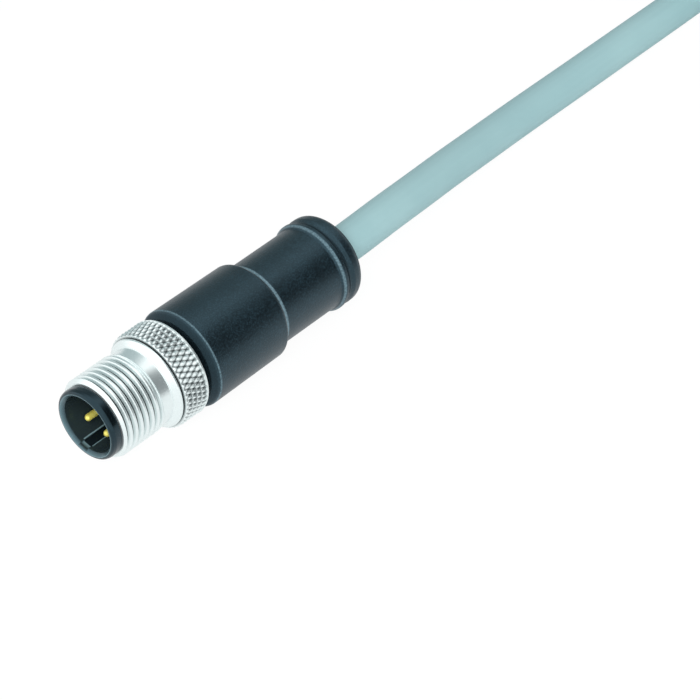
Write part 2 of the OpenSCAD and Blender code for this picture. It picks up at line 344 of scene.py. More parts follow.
class Shader:
    """One material's node tree, with short ways to add what this object's finishes use."""

    def __init__(self, holder: bpy.types.Material | bpy.types.World) -> None:
        """Empties the node tree of a material or of the world.

        Args:
            holder: the material or the world.
        """
        self.holder = holder
        self.holder.use_nodes = True
        self.tree = self.holder.node_tree
        self.tree.nodes.clear()

    @classmethod
    def named(cls, name: str) -> "Shader":
        """Starts a new material."""
        return cls(bpy.data.materials.new(name))

    def node(self, kind: str, settings: dict | None = None,
             sockets: dict | None = None) -> bpy.types.Node:
        """Adds a node.

        Args:
            kind: the node's type, such as "ShaderNodeTexNoise".
            settings: its properties, set first.
            sockets: values or wires for its inputs, by name or by place.

        Returns:
            The node.
        """
        new = self.tree.nodes.new(kind)
        for key, value in (settings or {}).items():
            setattr(new, key, value)
        for key, value in (sockets or {}).items():
            if isinstance(value, Wire):
                self.tree.links.new(value.socket, new.inputs[key])
            else:
                new.inputs[key].default_value = value
        return new

    def wire(self, node: bpy.types.Node, output: str | int = 0) -> Wire:
        """One output of a node."""
        return Wire(self.tree, node.outputs[output])

    def place(self) -> Wire:
        """The point on the piece in the part's own frame, in metres."""
        return self.wire(self.node("ShaderNodeTexCoord"), "Object")

    def lengthways(self, attribute: str) -> Wire:
        """A vector attribute that the piece carries."""
        return self.wire(self.node("ShaderNodeAttribute", {"attribute_name": attribute}), "Vector")

    def part(self, vector: Wire, letter: str) -> Wire:
        """One coordinate of a vector."""
        return self.wire(self.node("ShaderNodeSeparateXYZ", sockets={0: vector}), letter)

    def stretched(self, vector: Wire, scale: tuple[float, float, float]) -> Wire:
        """A vector multiplied coordinate by coordinate."""
        node = self.node("ShaderNodeVectorMath", {"operation": "MULTIPLY"}, {0: vector, 1: scale})
        return self.wire(node)

    def noise(self, vector: Wire, scale: float, detail: float = 2.0,
              roughness: float = 0.5) -> Wire:
        """Noise from 0 to 1, with the given number of bumps to the metre."""
        return self.wire(self.node("ShaderNodeTexNoise", {"noise_dimensions": "3D"},
                                   {"Vector": vector, "Scale": scale, "Detail": detail,
                                    "Roughness": roughness}), "Fac")

    def colours(self, factor: Wire, low: Wire | tuple, high: Wire | tuple) -> Wire:
        """A colour between two, by a factor from 0 to 1."""
        mix = self.node("ShaderNodeMix", {"data_type": "RGBA"}, {0: factor, 6: low, 7: high})
        return self.wire(mix, 2)

    def bump(self, height: Wire, depth: float, strength: float = 1.0) -> Wire:
        """A normal that follows a height, whose value of 1 stands for the given depth."""
        return self.wire(self.node("ShaderNodeBump", sockets={
            "Height": height, "Distance": depth, "Strength": strength}), "Normal")

    def surface(self, **sockets: "Wire | float | tuple") -> bpy.types.Material:
        """Closes the material with a Principled BSDF.

        Args:
            **sockets: its inputs, with "_" for each space in their names.

        Returns:
            The material.
        """
        named = {key.replace("_", " "): value for key, value in sockets.items()}
        skin = self.node("ShaderNodeBsdfPrincipled", sockets=named)
        self.node("ShaderNodeOutputMaterial", sockets={0: self.wire(skin)})
        return self.holder


def rgb(red: float, green: float, blue: float) -> tuple[float, float, float, float]:
    """An opaque colour, from values as they look on a screen (0 to 255), made linear."""
    shares = [c / 255.0 for c in (red, green, blue)]
    linear = [c / 12.92 if c <= 0.04045 else ((c + 0.055) / 1.055) ** 2.4 for c in shares]
    return (*linear, 1.0)


# --------------------------------------------------------------------------- finishes


@dataclass(frozen=True)
class Line:
    """A line round a turned piece, where its moulding is painted with a highlight or with shade.

    Attributes:
        x: the line's place along X, in metres.
        half: half its width, in metres.
        share: how strongly it shows, 0 to 1.
    """

    x: float
    half: float
    share: float


@dataclass(frozen=True)
class MouldedPlastic:
    """Black engineering plastic with a spark-eroded grain.

    Attributes:
        name: the material's name.
        dark: colour in the grain's hollows.
        light: colour on its tops.
        roughness: mean roughness.
        grain_size: size of one grain, in mm.
        grain_depth: height of the grain, in mm.
        shine: strength of its reflections.
        sparkle: how much the grain breaks up the painted highlights.
        edge: colour of the painted highlights on edges.
        edges: the lines painted with highlights.
        shades: the lines painted with shade.
        shade: colour of the painted shade.
        tint: colour of its reflections.
        cloud_scale: clouds to the metre.
    """

    name: str
    dark: tuple
    light: tuple
    roughness: float
    grain_size: float
    grain_depth: float
    shine: float
    sparkle: float = 2.4
    edge: tuple = (0.17, 0.26, 0.3, 1.0)
    edges: tuple[Line, ...] = ()
    shades: tuple[Line, ...] = ()
    shade: tuple = (0.0012, 0.0016, 0.002, 1.0)
    tint: tuple = (0.44, 0.8, 1.0, 1.0)
    cloud_scale: float = 260.0

    @staticmethod
    def lines(s: Shader, x: Wire, lines: Sequence[Line]) -> Wire:
        """How strongly any of the lines shows at a place along X."""
        total = x * 0.0
        for line in lines:
            total = total + abs(x - line.x).band(line.half, 0.3 * line.half) * line.share
        return total

    def material(self) -> bpy.types.Material:
        """Makes the material. The insert carries where its keyway is painted with shade, where
        its rim and the keyway's edges are painted with highlights, and how much paler its hollow
        is painted. Another piece carries its own places in metres, which add next to nothing to
        the lines.

        Returns:
            Plastic whose colour, gloss and surface vary with a fine grain and slow clouds, with
            painted highlights and painted shade along its lines.
        """
        s = Shader.named(self.name)
        place = s.place()
        run = s.lengthways("run")
        x = s.part(place, "X")
        grain = s.noise(place, 1000.0 / self.grain_size, 2.0, 0.6)
        clouds = s.noise(place, self.cloud_scale, 2.0)
        tone = (grain * 0.8 + clouds * 0.2).band(0.42, 0.74)
        body = s.colours(tone, self.dark, self.light)
        # Painted highlights on the edge lines, and painted shade in the grooves and the keyway,
        # are both colour.
        painted_highlight = self.lines(s, x, self.edges) + s.part(run, "Z")
        broken = (grain * self.sparkle + (1.0 - 0.55 * self.sparkle)).maths("MAXIMUM", 0.1)
        body = s.colours((painted_highlight * broken).maths("MINIMUM", 1.0), body, self.edge)
        painted_shade = (self.lines(s, x, self.shades) + s.part(run, "Y")).maths("MINIMUM", 1.0)
        body = s.colours(painted_shade, body, self.shade)
        return s.surface(
            Base_Color=body,
            Roughness=self.roughness - 0.1 + 0.2 * grain + 0.6 * painted_shade,
            Normal=s.bump(grain, self.grain_depth * MM),
            Specular_IOR_Level=self.shine,
            Specular_Tint=self.tint)


@dataclass(frozen=True)
class NickelPlate:
    """Bright nickel over turned brass.

    Attributes:
        name: the material's name.
        colour: colour of the plate.
        hollow: colour of the painted shade at the bottom of the thread's and the knurl's grooves.
        roughness: mean roughness.
        metal: share of metal in its look.
        deep: share of the thread's depth at which the painted shade starts, and is darkest.
    """

    name: str
    colour: tuple
    hollow: tuple
    roughness: float
    metal: float = 0.8
    deep: tuple[float, float] = (0.68, 0.94)

    def material(self) -> bpy.types.Material:
        """Makes the material. The piece carries how deep each point lies in the thread, as
        a share of the deepest, and how strongly the knurl and the groove before it are painted
        with shade.

        Returns:
            Metal with fine lines round the axis from turning, with painted shade in its grooves,
            where it is also duller.
        """
        s = Shader.named(self.name)
        place = s.place()
        run = s.lengthways("run")
        # Painted shade: darker at the thread's roots, where the knurl's grooves cross and in the
        # groove before the band.
        depth = s.part(run, "Y").band(*self.deep) + s.part(run, "Z")
        lines = s.noise(s.stretched(place, (14000.0, 300.0, 300.0)), 1.0, 2.0, 0.6)
        grain = s.noise(place, 7000.0, 2.0)
        return s.surface(
            Base_Color=s.colours(depth, self.colour, self.hollow),
            Metallic=self.metal,
            Roughness=self.roughness - 0.03 + 0.06 * lines + 0.03 * grain + 0.2 * depth,
            Normal=s.bump(lines * 0.6 + grain * 0.4, 0.0025 * MM, 0.5))


@dataclass(frozen=True)
class GoldPlate:
    """Gold over nickel on a turned contact.

    Attributes:
        name: the material's name.
        colour: colour of the gold.
        patches: colour of its duller patches.
        metal: share of metal in its look.
    """

    name: str
    colour: tuple
    patches: tuple
    metal: float = 0.35

    def material(self) -> bpy.types.Material:
        """Makes the material.

        Returns:
            Soft gold, a little duller in patches.
        """
        s = Shader.named(self.name)
        place = s.place()
        cloud = s.noise(place, 2600.0, 2.0)
        lines = s.noise(s.stretched(place, (16000.0, 900.0, 900.0)), 1.0, 2.0)
        return s.surface(
            Base_Color=s.colours(cloud.band(0.35, 0.7), self.colour, self.patches),
            Metallic=self.metal,
            Roughness=0.34 + 0.12 * cloud,
            Normal=s.bump(lines, 0.003 * MM, 0.5))


@dataclass(frozen=True)
class CableJacket:
    """Extruded grey cable jacket.

    Attributes:
        name: the material's name.
        dark: colour of the extrusion's darker streaks.
        light: colour of the rest.
    """

    name: str
    dark: tuple
    light: tuple

    def material(self) -> bpy.types.Material:
        """Makes the material.

        Returns:
            Satin plastic with faint streaks along the cable and a fine matt skin.
        """
        s = Shader.named(self.name)
        run = s.lengthways("run")
        place = s.place()
        streaks = s.noise(s.stretched(run, (14.0, 1500.0, 1.0)), 1.0, 2.0)
        skin = s.noise(place, 6500.0, 2.0)
        clouds = s.noise(place, 90.0, 2.0)
        tone = (streaks * 0.35 + clouds * 0.65).band(0.25, 0.75)
        return s.surface(
            Base_Color=s.colours(tone, self.dark, self.light),
            Roughness=0.52 + 0.06 * streaks + 0.06 * skin,
            Normal=s.bump(skin * 0.7 + streaks * 0.3, 0.006 * MM, 0.6),
            Specular_IOR_Level=0.25)


@dataclass(frozen=True)
class SmoothPlastic:
    """Thin extruded or pressed plastic, such as a core's insulation or a tie.

    Attributes:
        name: the material's name.
        colour: its colour.
        roughness: mean roughness.
    """

    name: str
    colour: tuple
    roughness: float

    def material(self) -> bpy.types.Material:
        """Makes the material.

        Returns:
            Plain plastic, a little cloudy, with a faint skin.
        """
        s = Shader.named(self.name)
        place = s.place()
        cloud = s.noise(place, 1200.0, 2.0)
        paler = tuple(min(1.0, c * 1.12 + 0.01) for c in self.colour[:3]) + (1.0,)
        return s.surface(
            Base_Color=s.colours(cloud.band(0.3, 0.7), self.colour, paler),
            Roughness=self.roughness + 0.08 * cloud,
            Normal=s.bump(cloud, 0.006 * MM, 0.5))


@dataclass(frozen=True)
class TinnedCopper:
    """Tinned copper strands.

    Attributes:
        name: the material's name.
        colour: colour of the tin.
        hollow: colour between the strands.
    """

    name: str
    colour: tuple
    hollow: tuple

    def material(self) -> bpy.types.Material:
        """Makes the material.

        Returns:
            Dull silvery metal with darker hollows.
        """
        s = Shader.named(self.name)
        cloud = s.noise(s.place(), 3200.0, 3.0, 0.6)
        return s.surface(
            Base_Color=s.colours(cloud.band(0.35, 0.65), self.hollow, self.colour),
            Metallic=1.0,
            Roughness=0.28 + 0.2 * cloud,
            Normal=s.bump(cloud, 0.02 * MM, 0.6))


# ------------------------------------------------------------------------- the pieces


@dataclass(frozen=True)
class Axis:
    """The connector's axis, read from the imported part.

    Attributes:
        start: the point of the axis at station 0, in metres.
    """

    start: np.ndarray

    @classmethod
    def from_frame(cls) -> "Axis":
        """Finds the axis: the middle of the coupling ring's box, from the carrier's face."""
        low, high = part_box("coupling_ring")
        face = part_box("contact_carrier")[0][0]
        return cls(np.array([face, 0.5 * (low[1] + high[1]), 0.5 * (low[2] + high[2])]))

    def at(self, station: float) -> np.ndarray:
        """The point of the axis at a station given in mm."""
        return self.start + np.array([station * MM, 0.0, 0.0])


@dataclass
class CouplingRing:
    """The turning ring: threaded sleeve, plain neck, shoulder and knurled band.

    Attributes:
        axis: the connector's axis.
        bore: radius of the bore, in mm.
        front: station of its front face, in mm.
        thread_radius: radius over the thread's crests, in mm.
        thread_root: radius at its roots, in mm.
        thread_pitch: distance from crest to crest, in mm.
        thread_end: where the thread's crests end, in mm.
        thread_from: where the thread's grooves start, in mm.
        thread_to: where they have ended, a whole number of pitches further on, in mm.
        thread_fade: where they start to fade out, in mm.
        thread_steps: rows of points to one pitch.
        neck_radius: radius of the plain neck, in mm.
        neck_end: where the plain neck ends, in mm.
        shoulder_radius: radius of the shoulder before the knurled band, in mm.
        groove_radius: radius of the groove between the shoulder and the band, in mm.
        groove_width: width of that groove, in mm.
        band_from: radius over which the knurl is cut, in mm.
        knurl_front: where the knurled band starts, in mm.
        knurl_radius: radius over the diamonds, in mm.
        knurl_back: where they end, in mm.
        rear: station of its rear face, in mm.
        knurl_count: diamonds round the band.
        knurl_period: length of one diamond along the axis, in mm.
        knurl_depth: depth where the knurl's grooves cross, in mm.
        knurl_half: half the width of a knurl's groove, as a share of a diamond.
        knurl_run_in: length over which the knurl deepens at its front, in mm.
        knurl_steps: points round the ring for one diamond.
        pit_from: share of the knurl's depth at which its painted shade starts.
        pit_gain: how fast that painted shade grows from there.
    """

    axis: Axis
    bore: float = 5.08
    front: float = 1.65
    thread_radius: float = 6.0
    thread_root: float = 5.42
    thread_pitch: float = 1.0
    thread_end: float = 8.5
    thread_from: float = 1.85
    thread_to: float = 8.85
    thread_fade: float = 8.2
    thread_steps: int = 16
    neck_radius: float = 5.75
    neck_end: float = 10.6
    shoulder_radius: float = 6.7
    groove_radius: float = 6.45
    groove_width: float = 0.2
    band_from: float = 6.9
    knurl_front: float = 11.75
    knurl_radius: float = 7.22
    knurl_back: float = 15.6
    rear: float = 16.1
    knurl_count: int = 52
    knurl_period: float = 1.72
    knurl_depth: float = 0.34
    knurl_half: float = 0.47
    knurl_run_in: float = 0.25
    knurl_steps: int = 8
    pit_from: float = 0.46
    pit_gain: float = 2.5

    def profile(self) -> np.ndarray:
        """Works out the ring's outline, from the bore's front edge round to its rear edge.

        Returns:
            [station, radius] rows, in mm.
        """
        neck, crest = self.neck_radius, self.thread_radius
        band, groove = self.knurl_front, self.groove_radius
        return rounded_profile([
            Corner(self.front, self.bore), Corner(self.front, crest - 0.5, 0.06),
            Corner(self.front + 0.5, crest, 0.1), Corner(self.thread_end, crest, 0.2),
            Corner(self.thread_to, neck, 0.15), Corner(self.neck_end, neck, 0.12),
            Corner(self.neck_end + 0.05, crest - 0.1, 0.05),
            Corner(self.neck_end + 0.15, crest, 0.05),
            Corner(self.neck_end + 0.65, self.shoulder_radius - 0.04, 0.25),
            Corner(band - self.groove_width, self.shoulder_radius, 0.08),
            Corner(band - self.groove_width, groove, 0.04), Corner(band, groove, 0.04),
            Corner(band, self.knurl_radius - 0.22, 0.06),
            Corner(band + 0.22, self.knurl_radius, 0.1),
            Corner(self.knurl_back, self.knurl_radius, 0.04),
            Corner(self.knurl_back + 0.12, self.knurl_radius - 0.12, 0.06),
            Corner(self.rear - 0.2, self.knurl_radius - 0.12, 0.08),
            Corner(self.rear, self.knurl_radius - 0.34, 0.06), Corner(self.rear, self.bore)])

    def thread_depth(self, stations: np.ndarray, angles: np.ndarray) -> np.ndarray:
        """Works out how deep the thread lies below its crests.

        The phase is (station / pitch + angle / turn); a right-handed groove lies where it
        is whole. Each side of the groove has a round brow, a steep flank and a flat root.

        Args:
            stations: places along the axis, in mm.
            angles: angles round it, in radians.

        Returns:
            Depths in mm, for each place.
        """
        phase = stations / self.thread_pitch + angles / (2.0 * np.pi)
        away = np.abs(phase - np.round(phase))
        share = np.interp(away, np.array([0.0, 1.0, 3.0, 4.0, 5.0, 6.0, 8.0]) / 16.0,
                          [1.0, 1.0, 0.52, 0.28, 0.09, 0.0, 0.0])
        fade = np.clip((self.thread_to - stations) / (self.thread_to - self.thread_fade), 0.0, 1.0)
        return share * fade * (self.thread_radius - self.thread_root)

    def thread_stations(self, turn: np.ndarray) -> np.ndarray:
        """Lays rows of points along the thread's helix.

        A row's station falls by one pitch in a turn. Between the plain circle at either
        end and the first or last such row, the rows fan out, so that at the seam each
        row's end meets the start of the row a pitch further on.

        Args:
            turn: share of a turn of each column, from 0 to 1.

        Returns:
            Stations in mm, rows x columns.
        """
        start, end, pitch = self.thread_from, self.thread_to, self.thread_pitch
        share = np.arange(1, self.thread_steps + 1)[:, None] / self.thread_steps
        rows = int(round((end - start - pitch) / pitch * self.thread_steps))
        step = pitch / self.thread_steps
        opening = start + share * pitch * (1.0 - turn)
        helix = start + np.arange(1, rows + 1)[:, None] * step + pitch * (1.0 - turn)
        closing = end - pitch * turn * (1.0 - share)
        return np.vstack([opening, helix, closing])

    def knurl_cut(self, stations: np.ndarray, angles: np.ndarray) -> np.ndarray:
        """Works out how deep the knurl's crossed grooves are.

        Two families of V grooves run at opposite slopes: groove k lies where
        count x angle / turn +- station / period is whole. They are deepest where they
        cross.

        Args:
            stations: places along the axis, in mm.
            angles: one per column, in radians.

        Returns:
            Depths as shares of the deepest, rows x columns.
        """
        around = self.knurl_count * angles / (2.0 * np.pi)
        along = (stations - self.knurl_front) / self.knurl_period
        cuts = []
        for phase in (around + along, around - along):
            away = np.abs(phase - np.round(phase))
            cuts.append(np.clip(1.0 - away / self.knurl_half, 0.0, 1.0))
        ends = np.clip((stations - self.knurl_front) / self.knurl_run_in, 0.0, 1.0) * (
            stations < self.knurl_back - 0.02)
        return (0.7 * np.maximum(*cuts) + 0.3 * np.minimum(*cuts)) * ends

    def build(self, finish: NickelPlate) -> bpy.types.Object:
        """Makes the ring.

        Args:
            finish: its plating.

        Returns:
            The ring, in place of the CAD node.
        """
        profile = refine(self.profile(), self.knurl_front + 0.2, self.knurl_back,
                         self.knurl_period / 16)
        turn = np.linspace(0.0, 1.0, self.knurl_count * self.knurl_steps + 1)
        angles = 2.0 * np.pi * turn
        ahead = profile[:, 0] <= self.thread_from
        behind = profile[:, 0] > self.thread_to
        wide = np.broadcast_to(profile[:, :1], (len(profile), len(turn)))
        stations = np.vstack([wide[ahead], self.thread_stations(turn), wide[behind]])
        outline = profile[~((profile[:, 1] <= self.bore) & (profile[:, 0] > self.front))]
        plain = np.interp(stations, outline[:, 0], outline[:, 1])
        first, last = int(ahead.sum()), len(stations) - int(behind.sum())
        plain[:first] = profile[ahead][:, 1:]
        plain[last:] = profile[behind][:, 1:]
        depth = np.zeros_like(plain)
        depth[first:last] = self.thread_depth(stations[first:last], angles)
        cut = np.where(plain > self.band_from, self.knurl_cut(stations, angles), 0.0)
        radii = np.minimum(plain, self.thread_radius - depth)
        radii = np.where(np.arange(len(stations))[:, None] < last, radii,
                         plain - cut * self.knurl_depth)
        share = depth / (self.thread_radius - self.thread_root)
        # Painted shade where the knurl's grooves cross, and in the plain groove before the band.
        painted_groove_shade = np.clip((cut - self.pit_from) * self.pit_gain, 0.0, 1.0)
        from_groove = np.abs(stations - self.knurl_front + 0.5 * self.groove_width)
        in_groove = (plain > self.thread_radius) & (plain < self.shoulder_radius - 0.1)
        painted_groove_shade = np.where((from_groove < 0.11) & in_groove, 1.0, painted_groove_shade)
        run = np.stack([stations * MM, share, painted_groove_shade], axis=-1)
        points = turned_surface(stations, radii, angles, self.axis.start)
        skin = Skin().grid(points, wrap_columns=False, wrap_rows=True, run=run)
        ring = skin.piece("ring", Body.RING, Slot.NICKEL, ["coupling_ring"], 30.0)
        ring.data.materials.append(finish.material())
        return ring


@dataclass
class Carrier:
    """The black insert: a collar with a keyway round the pins, and its barrel.

    Attributes:
        axis: the connector's axis.
        socket: radius of the collar's hollow, in mm.
        depth: station of the hollow's floor, in mm.
        outside: radius of the collar, in mm.
        mouth: radius of the hollow's mouth, in mm.
        key_start: where the keyway's painted shade starts, behind a painted highlight across it,
            in mm.
        lip: where the collar ends and the barrel starts, in mm.
        barrel: radius of the barrel, in mm.
        key_turn: angle of the keyway from straight down, in degrees.
        key_width: width of the keyway, in mm.
        key_radius: distance of the keyway's floor from the axis, in mm.
        hollow_pale_share: how far the hollow's wall is painted paler, towards the colour of the
            painted highlights.
        rim_half: half the width of the painted highlight round the mouth, in mm.
        flange: radius of the end flange, in mm.
        flange_start: station where it starts, in mm.
        rear: station where it ends, in mm.
    """

    axis: Axis
    socket: float = 4.25
    depth: float = 8.6
    outside: float = 5.25
    mouth: float = 4.68
    key_start: float = 1.12
    lip: float = 1.55
    barrel: float = 5.0
    key_turn: float = 12.0
    key_width: float = 1.42
    key_radius: float = 4.55
    hollow_pale_share: float = 0.1
    rim_half: float = 0.09
    flange: float = 5.9
    flange_start: float = 18.35
    rear: float = 19.85

    def profile(self) -> np.ndarray:
        """Works out the insert's outline, from the middle of the hollow's floor.

        Returns:
            [station, radius] rows, in mm.
        """
        return rounded_profile([
            Corner(self.depth, 0.0), Corner(self.depth, self.socket, 0.12),
            Corner(self.key_start + 0.05, self.socket), Corner(self.key_start - 0.05, self.socket),
            Corner(self.key_start - 0.13, self.socket),
            Corner(0.5, self.socket, 0.1), Corner(0.05, self.mouth - 0.04),
            Corner(0.0, self.mouth, 0.02), Corner(0.01, self.mouth + 0.07),
            Corner(0.05, self.outside - 0.3, 0.2), Corner(0.22, self.outside - 0.12, 0.2),
            Corner(0.6, self.outside, 0.4),
            Corner(self.lip, self.outside, 0.08), Corner(self.lip, self.barrel),
            Corner(self.flange_start, self.barrel), Corner(self.flange_start, self.flange, 0.1),
            Corner(self.rear, self.flange, 0.1), Corner(self.rear, 0.0)])

    def angles(self) -> tuple[np.ndarray, np.ndarray, np.ndarray]:
        """Places the columns so that the keyway's corners fall on columns.

        Returns:
            The angles in radians, and for each column how far it is cut into the keyway
            and how strongly it is painted with a highlight along the keyway's edge, both 0 to 1.
        """
        half = 0.5 * self.key_width
        rim = math.asin(half / self.socket)
        floor = math.asin((half - 0.04) / self.key_radius)
        edge = [(-rim - 0.05, 0.0, 0.0), (-rim - 0.03, 0.0, 1.0), (-rim - 0.008, 0.0, 1.0),
                (-rim + 0.002, 0.1, 0.5), (-floor - 0.004, 0.92, 0.0), (-floor + 0.01, 1.0, 0.0)]
        other = [(-a, cut, painted_highlight) for a, cut, painted_highlight in reversed(edge)]
        inside = [(a, 1.0, 0.0) for a in np.linspace(-floor, floor, 9)[1:-1]]
        around = [(a, 0.0, 0.0)
                  for a in np.linspace(rim + 0.08, 2 * math.pi - rim - 0.08, 150)]
        columns = np.array(edge + inside + other + around)
        return columns[:, 0] + math.radians(self.key_turn), columns[:, 1], columns[:, 2]

    def build(self, finish: MouldedPlastic) -> bpy.types.Object:
        """Makes the insert.

        Args:
            finish: its plastic.

        Returns:
            The insert, in place of the CAD node.
        """
        profile = self.profile()
        stations, radii = profile[:, :1], profile[:, 1:]
        angles, cut, edge = self.angles()
        inner = (np.arange(len(profile)) < np.argmax(profile[:, 1] > self.key_radius))[:, None]
        inner &= radii > self.socket - 0.2
        keyed = radii + cut * np.maximum(self.key_radius - radii, 0.0)
        radii = np.where(inner, keyed, radii)
        points = turned_surface(stations, radii, angles, self.axis.start)
        # Colour painted by place: near-black painted shade in the keyway behind key_start; painted
        # highlights round the mouth's rim, along the keyway's edges and across it at key_start;
        # the hollow's wall painted a little paler.
        hollow = (np.arange(len(profile)) < np.argmax(profile[:, 1] > self.mouth))[:, None]
        deep = inner & (stations > self.key_start)
        rim = np.clip(1.0 - np.abs(radii - self.mouth) / self.rim_half, 0.0, 1.0)
        pale = np.maximum(np.where(hollow, self.hollow_pale_share, 0.0), rim * (stations < 0.06))
        pale = np.where(deep, np.maximum(pale * (1.0 - cut), edge), pale)
        front = inner & (np.abs(stations - self.key_start + 0.09) < 0.05)
        pale = np.where(front, np.maximum(pale, 0.9 * cut), pale)
        run = np.stack([np.broadcast_to(stations * MM, radii.shape), deep * cut, pale], axis=-1)
        piece = Skin().grid(points, run=run).piece("insert", Body.CONNECTOR, Slot.CARRIER,
                                                   ["contact_carrier"], 35.0)
        piece.data.materials.append(finish.material())
        return piece


@dataclass
class Contacts:
    """The four pins, each with a domed tip, a thicker shank and a solder cup.

    Attributes:
        axis: the connector's axis.
        circle: radius of the circle that they stand on, in mm.
        radius: radius of a pin in front of its shank, in mm.
        tip: station of their tips, in mm.
        base: station where the shank starts, on the hollow's floor, in mm.
        cup_radius: radius of the shank and of the solder cup, in mm.
        cup_end: station of the cup's mouth, in mm.
        hole: radius of the cup's hole, in mm.
        floor: station of the hole's floor, in mm.
        turn: angle of the keyway from straight down, in degrees.
    """

    axis: Axis
    circle: float = 2.5
    radius: float = 0.5
    tip: float = 2.1
    base: float = 8.6
    cup_radius: float = 0.8
    cup_end: float = 23.25
    hole: float = 0.46
    floor: float = 20.45
    turn: float = 12.0

    def build(self, finish: GoldPlate) -> list[bpy.types.Object]:
        """Makes the pins, halfway between the keyway's direction and those across it.

        Args:
            finish: their plating.

        Returns:
            The four pins, in place of their CAD nodes.
        """
        r = self.radius
        dome = np.linspace(0.0, 0.5 * np.pi, 9)
        tip = np.column_stack([self.tip + r - r * np.cos(dome), r * np.sin(dome)])
        cup = rounded_profile([
            Corner(self.base, r), Corner(self.base, self.cup_radius, 0.08),
            Corner(self.cup_end, self.cup_radius, 0.08), Corner(self.cup_end, self.hole, 0.05),
            Corner(self.floor, self.hole), Corner(self.floor, 0.0)])
        profile = np.vstack([tip, cup])
        angles = np.linspace(0.0, 2.0 * np.pi, 40, endpoint=False)
        material = finish.material()
        pins = []
        for number in range(4):
            place = math.radians(self.turn + 45.0 + 90.0 * number)
            offset = np.array([0.0, math.sin(place), -math.cos(place)]) * self.circle * MM
            points = turned_surface(profile[:, :1], profile[:, 1:], angles,
                                    self.axis.start + offset)
            pin = Skin().grid(points).piece(f"pin_{number + 1}", Body.CONNECTOR, Slot.GOLD,
                                            [f"contact_pin_{number + 1}"])
            pin.data.materials.append(material)
            pins.append(pin)
        return pins


@dataclass
class Grip:
    """The moulded grip: front section, step down, rear section and end flange.

    Attributes:
        axis: the connector's axis.
        front: station of its front face, in mm.
        front_radius: radius of the front section, in mm.
        step: station of the step down, in mm.
        rear_radius: radius of the rear section, in mm.
        flange_start: station where the end flange starts, in mm.
        flange_radius: radius of the end flange, in mm.
        rear: station of its rear face, in mm.
        bore: radius of the cable's hole, in mm.
        bevel: size of the front bevel, in mm.
        hole_depth: depth to which the cable's hole is made, in mm.
        recess: depth of the front recess round the barrel, in mm.
        barrel: radius of the barrel, in mm.
        inside: radius of the unseen inner wall, in mm.
    """

    axis: Axis
    front: float = 17.15
    front_radius: float = 7.4
    step: float = 31.25
    rear_radius: float = 6.35
    flange_start: float = 43.25
    flange_radius: float = 6.825
    rear: float = 47.65
    bore: float = 2.85
    bevel: float = 0.95
    hole_depth: float = 1.5
    recess: float = 1.2
    barrel: float = 5.0
    inside: float = 6.0

    def profile(self) -> np.ndarray:
        """Works out the grip's outline, from the barrel at its front to the cable's hole.

        Returns:
            [station, radius] rows, in mm.
        """
        front, back, rear = self.front_radius, self.front_radius - 0.1, self.rear_radius
        return rounded_profile([
            Corner(self.front + self.recess, self.barrel), Corner(self.front, self.barrel, 0.2),
            Corner(self.front, front - self.bevel, 0.12),
            Corner(self.front + self.bevel, front, 0.3), Corner(self.step, back, 0.5),
            Corner(self.step + 0.6, rear, 0.8), Corner(self.flange_start - 0.1, rear, 0.3),
            Corner(self.flange_start + 0.52, self.flange_radius, 0.2),
            Corner(self.flange_start + 0.95, self.flange_radius, 0.12),
            Corner(self.flange_start + 1.25, self.flange_radius - 0.32, 0.12),
            Corner(self.flange_start + 1.7, self.flange_radius - 0.32, 0.2),
            Corner(self.flange_start + 2.3, self.flange_radius - 0.05, 0.4),
            Corner(self.rear - 0.95, self.flange_radius - 0.08, 1.3),
            Corner(self.rear, self.flange_radius - 1.0, 1.3),
            Corner(self.rear, self.bore + 0.05, 0.1),
            Corner(self.rear - self.hole_depth, self.bore)], 9)

    def lines(self) -> tuple[tuple[Line, ...], tuple[Line, ...]]:
        """Lists the painted highlights on the grip's edges, and the painted shade in its grooves
        and on its rear edge.

        Returns:
            The painted highlights, and the painted shade.
        """
        def line(station: float, half: float, share: float) -> Line:
            """One line, from its station in mm."""
            return Line(float(self.axis.at(station)[0]), half * MM, share)

        # Painted highlights on the bevel, the step and the flange's front edge; painted shade
        # behind the front face, in the flange's groove and on the rear edge.
        edges = (line(self.front + self.bevel, 0.16, 0.5), line(self.step + 0.95, 0.36, 1.0),
                 line(self.flange_start + 0.32, 0.24, 0.6))
        shades = (line(self.front + 0.3, 0.6, 0.5), line(self.flange_start + 1.35, 0.3, 0.8),
                  line(self.rear - 0.1, 0.9, 0.8))
        return edges, shades

    def build(self, finish: MouldedPlastic) -> bpy.types.Object:
        """Makes the grip.

        Args:
            finish: its plastic.

        Returns:
            The grip, in place of the CAD node.
        """
        profile = self.profile()
        back = np.array([[self.rear - self.hole_depth, self.inside],
                         [self.front + self.recess, self.inside]])
        profile = np.vstack([profile, back])
        angles = np.linspace(0.0, 2.0 * np.pi, 192, endpoint=False)
        points = turned_surface(profile[:, :1], profile[:, 1:], angles, self.axis.start)
        grip = Skin().grid(points, wrap_rows=True).piece(
            "grip_shell", Body.CONNECTOR, Slot.GRIP, ["grip"], 50.0)
        grip.data.materials.append(finish.material())
        return grip


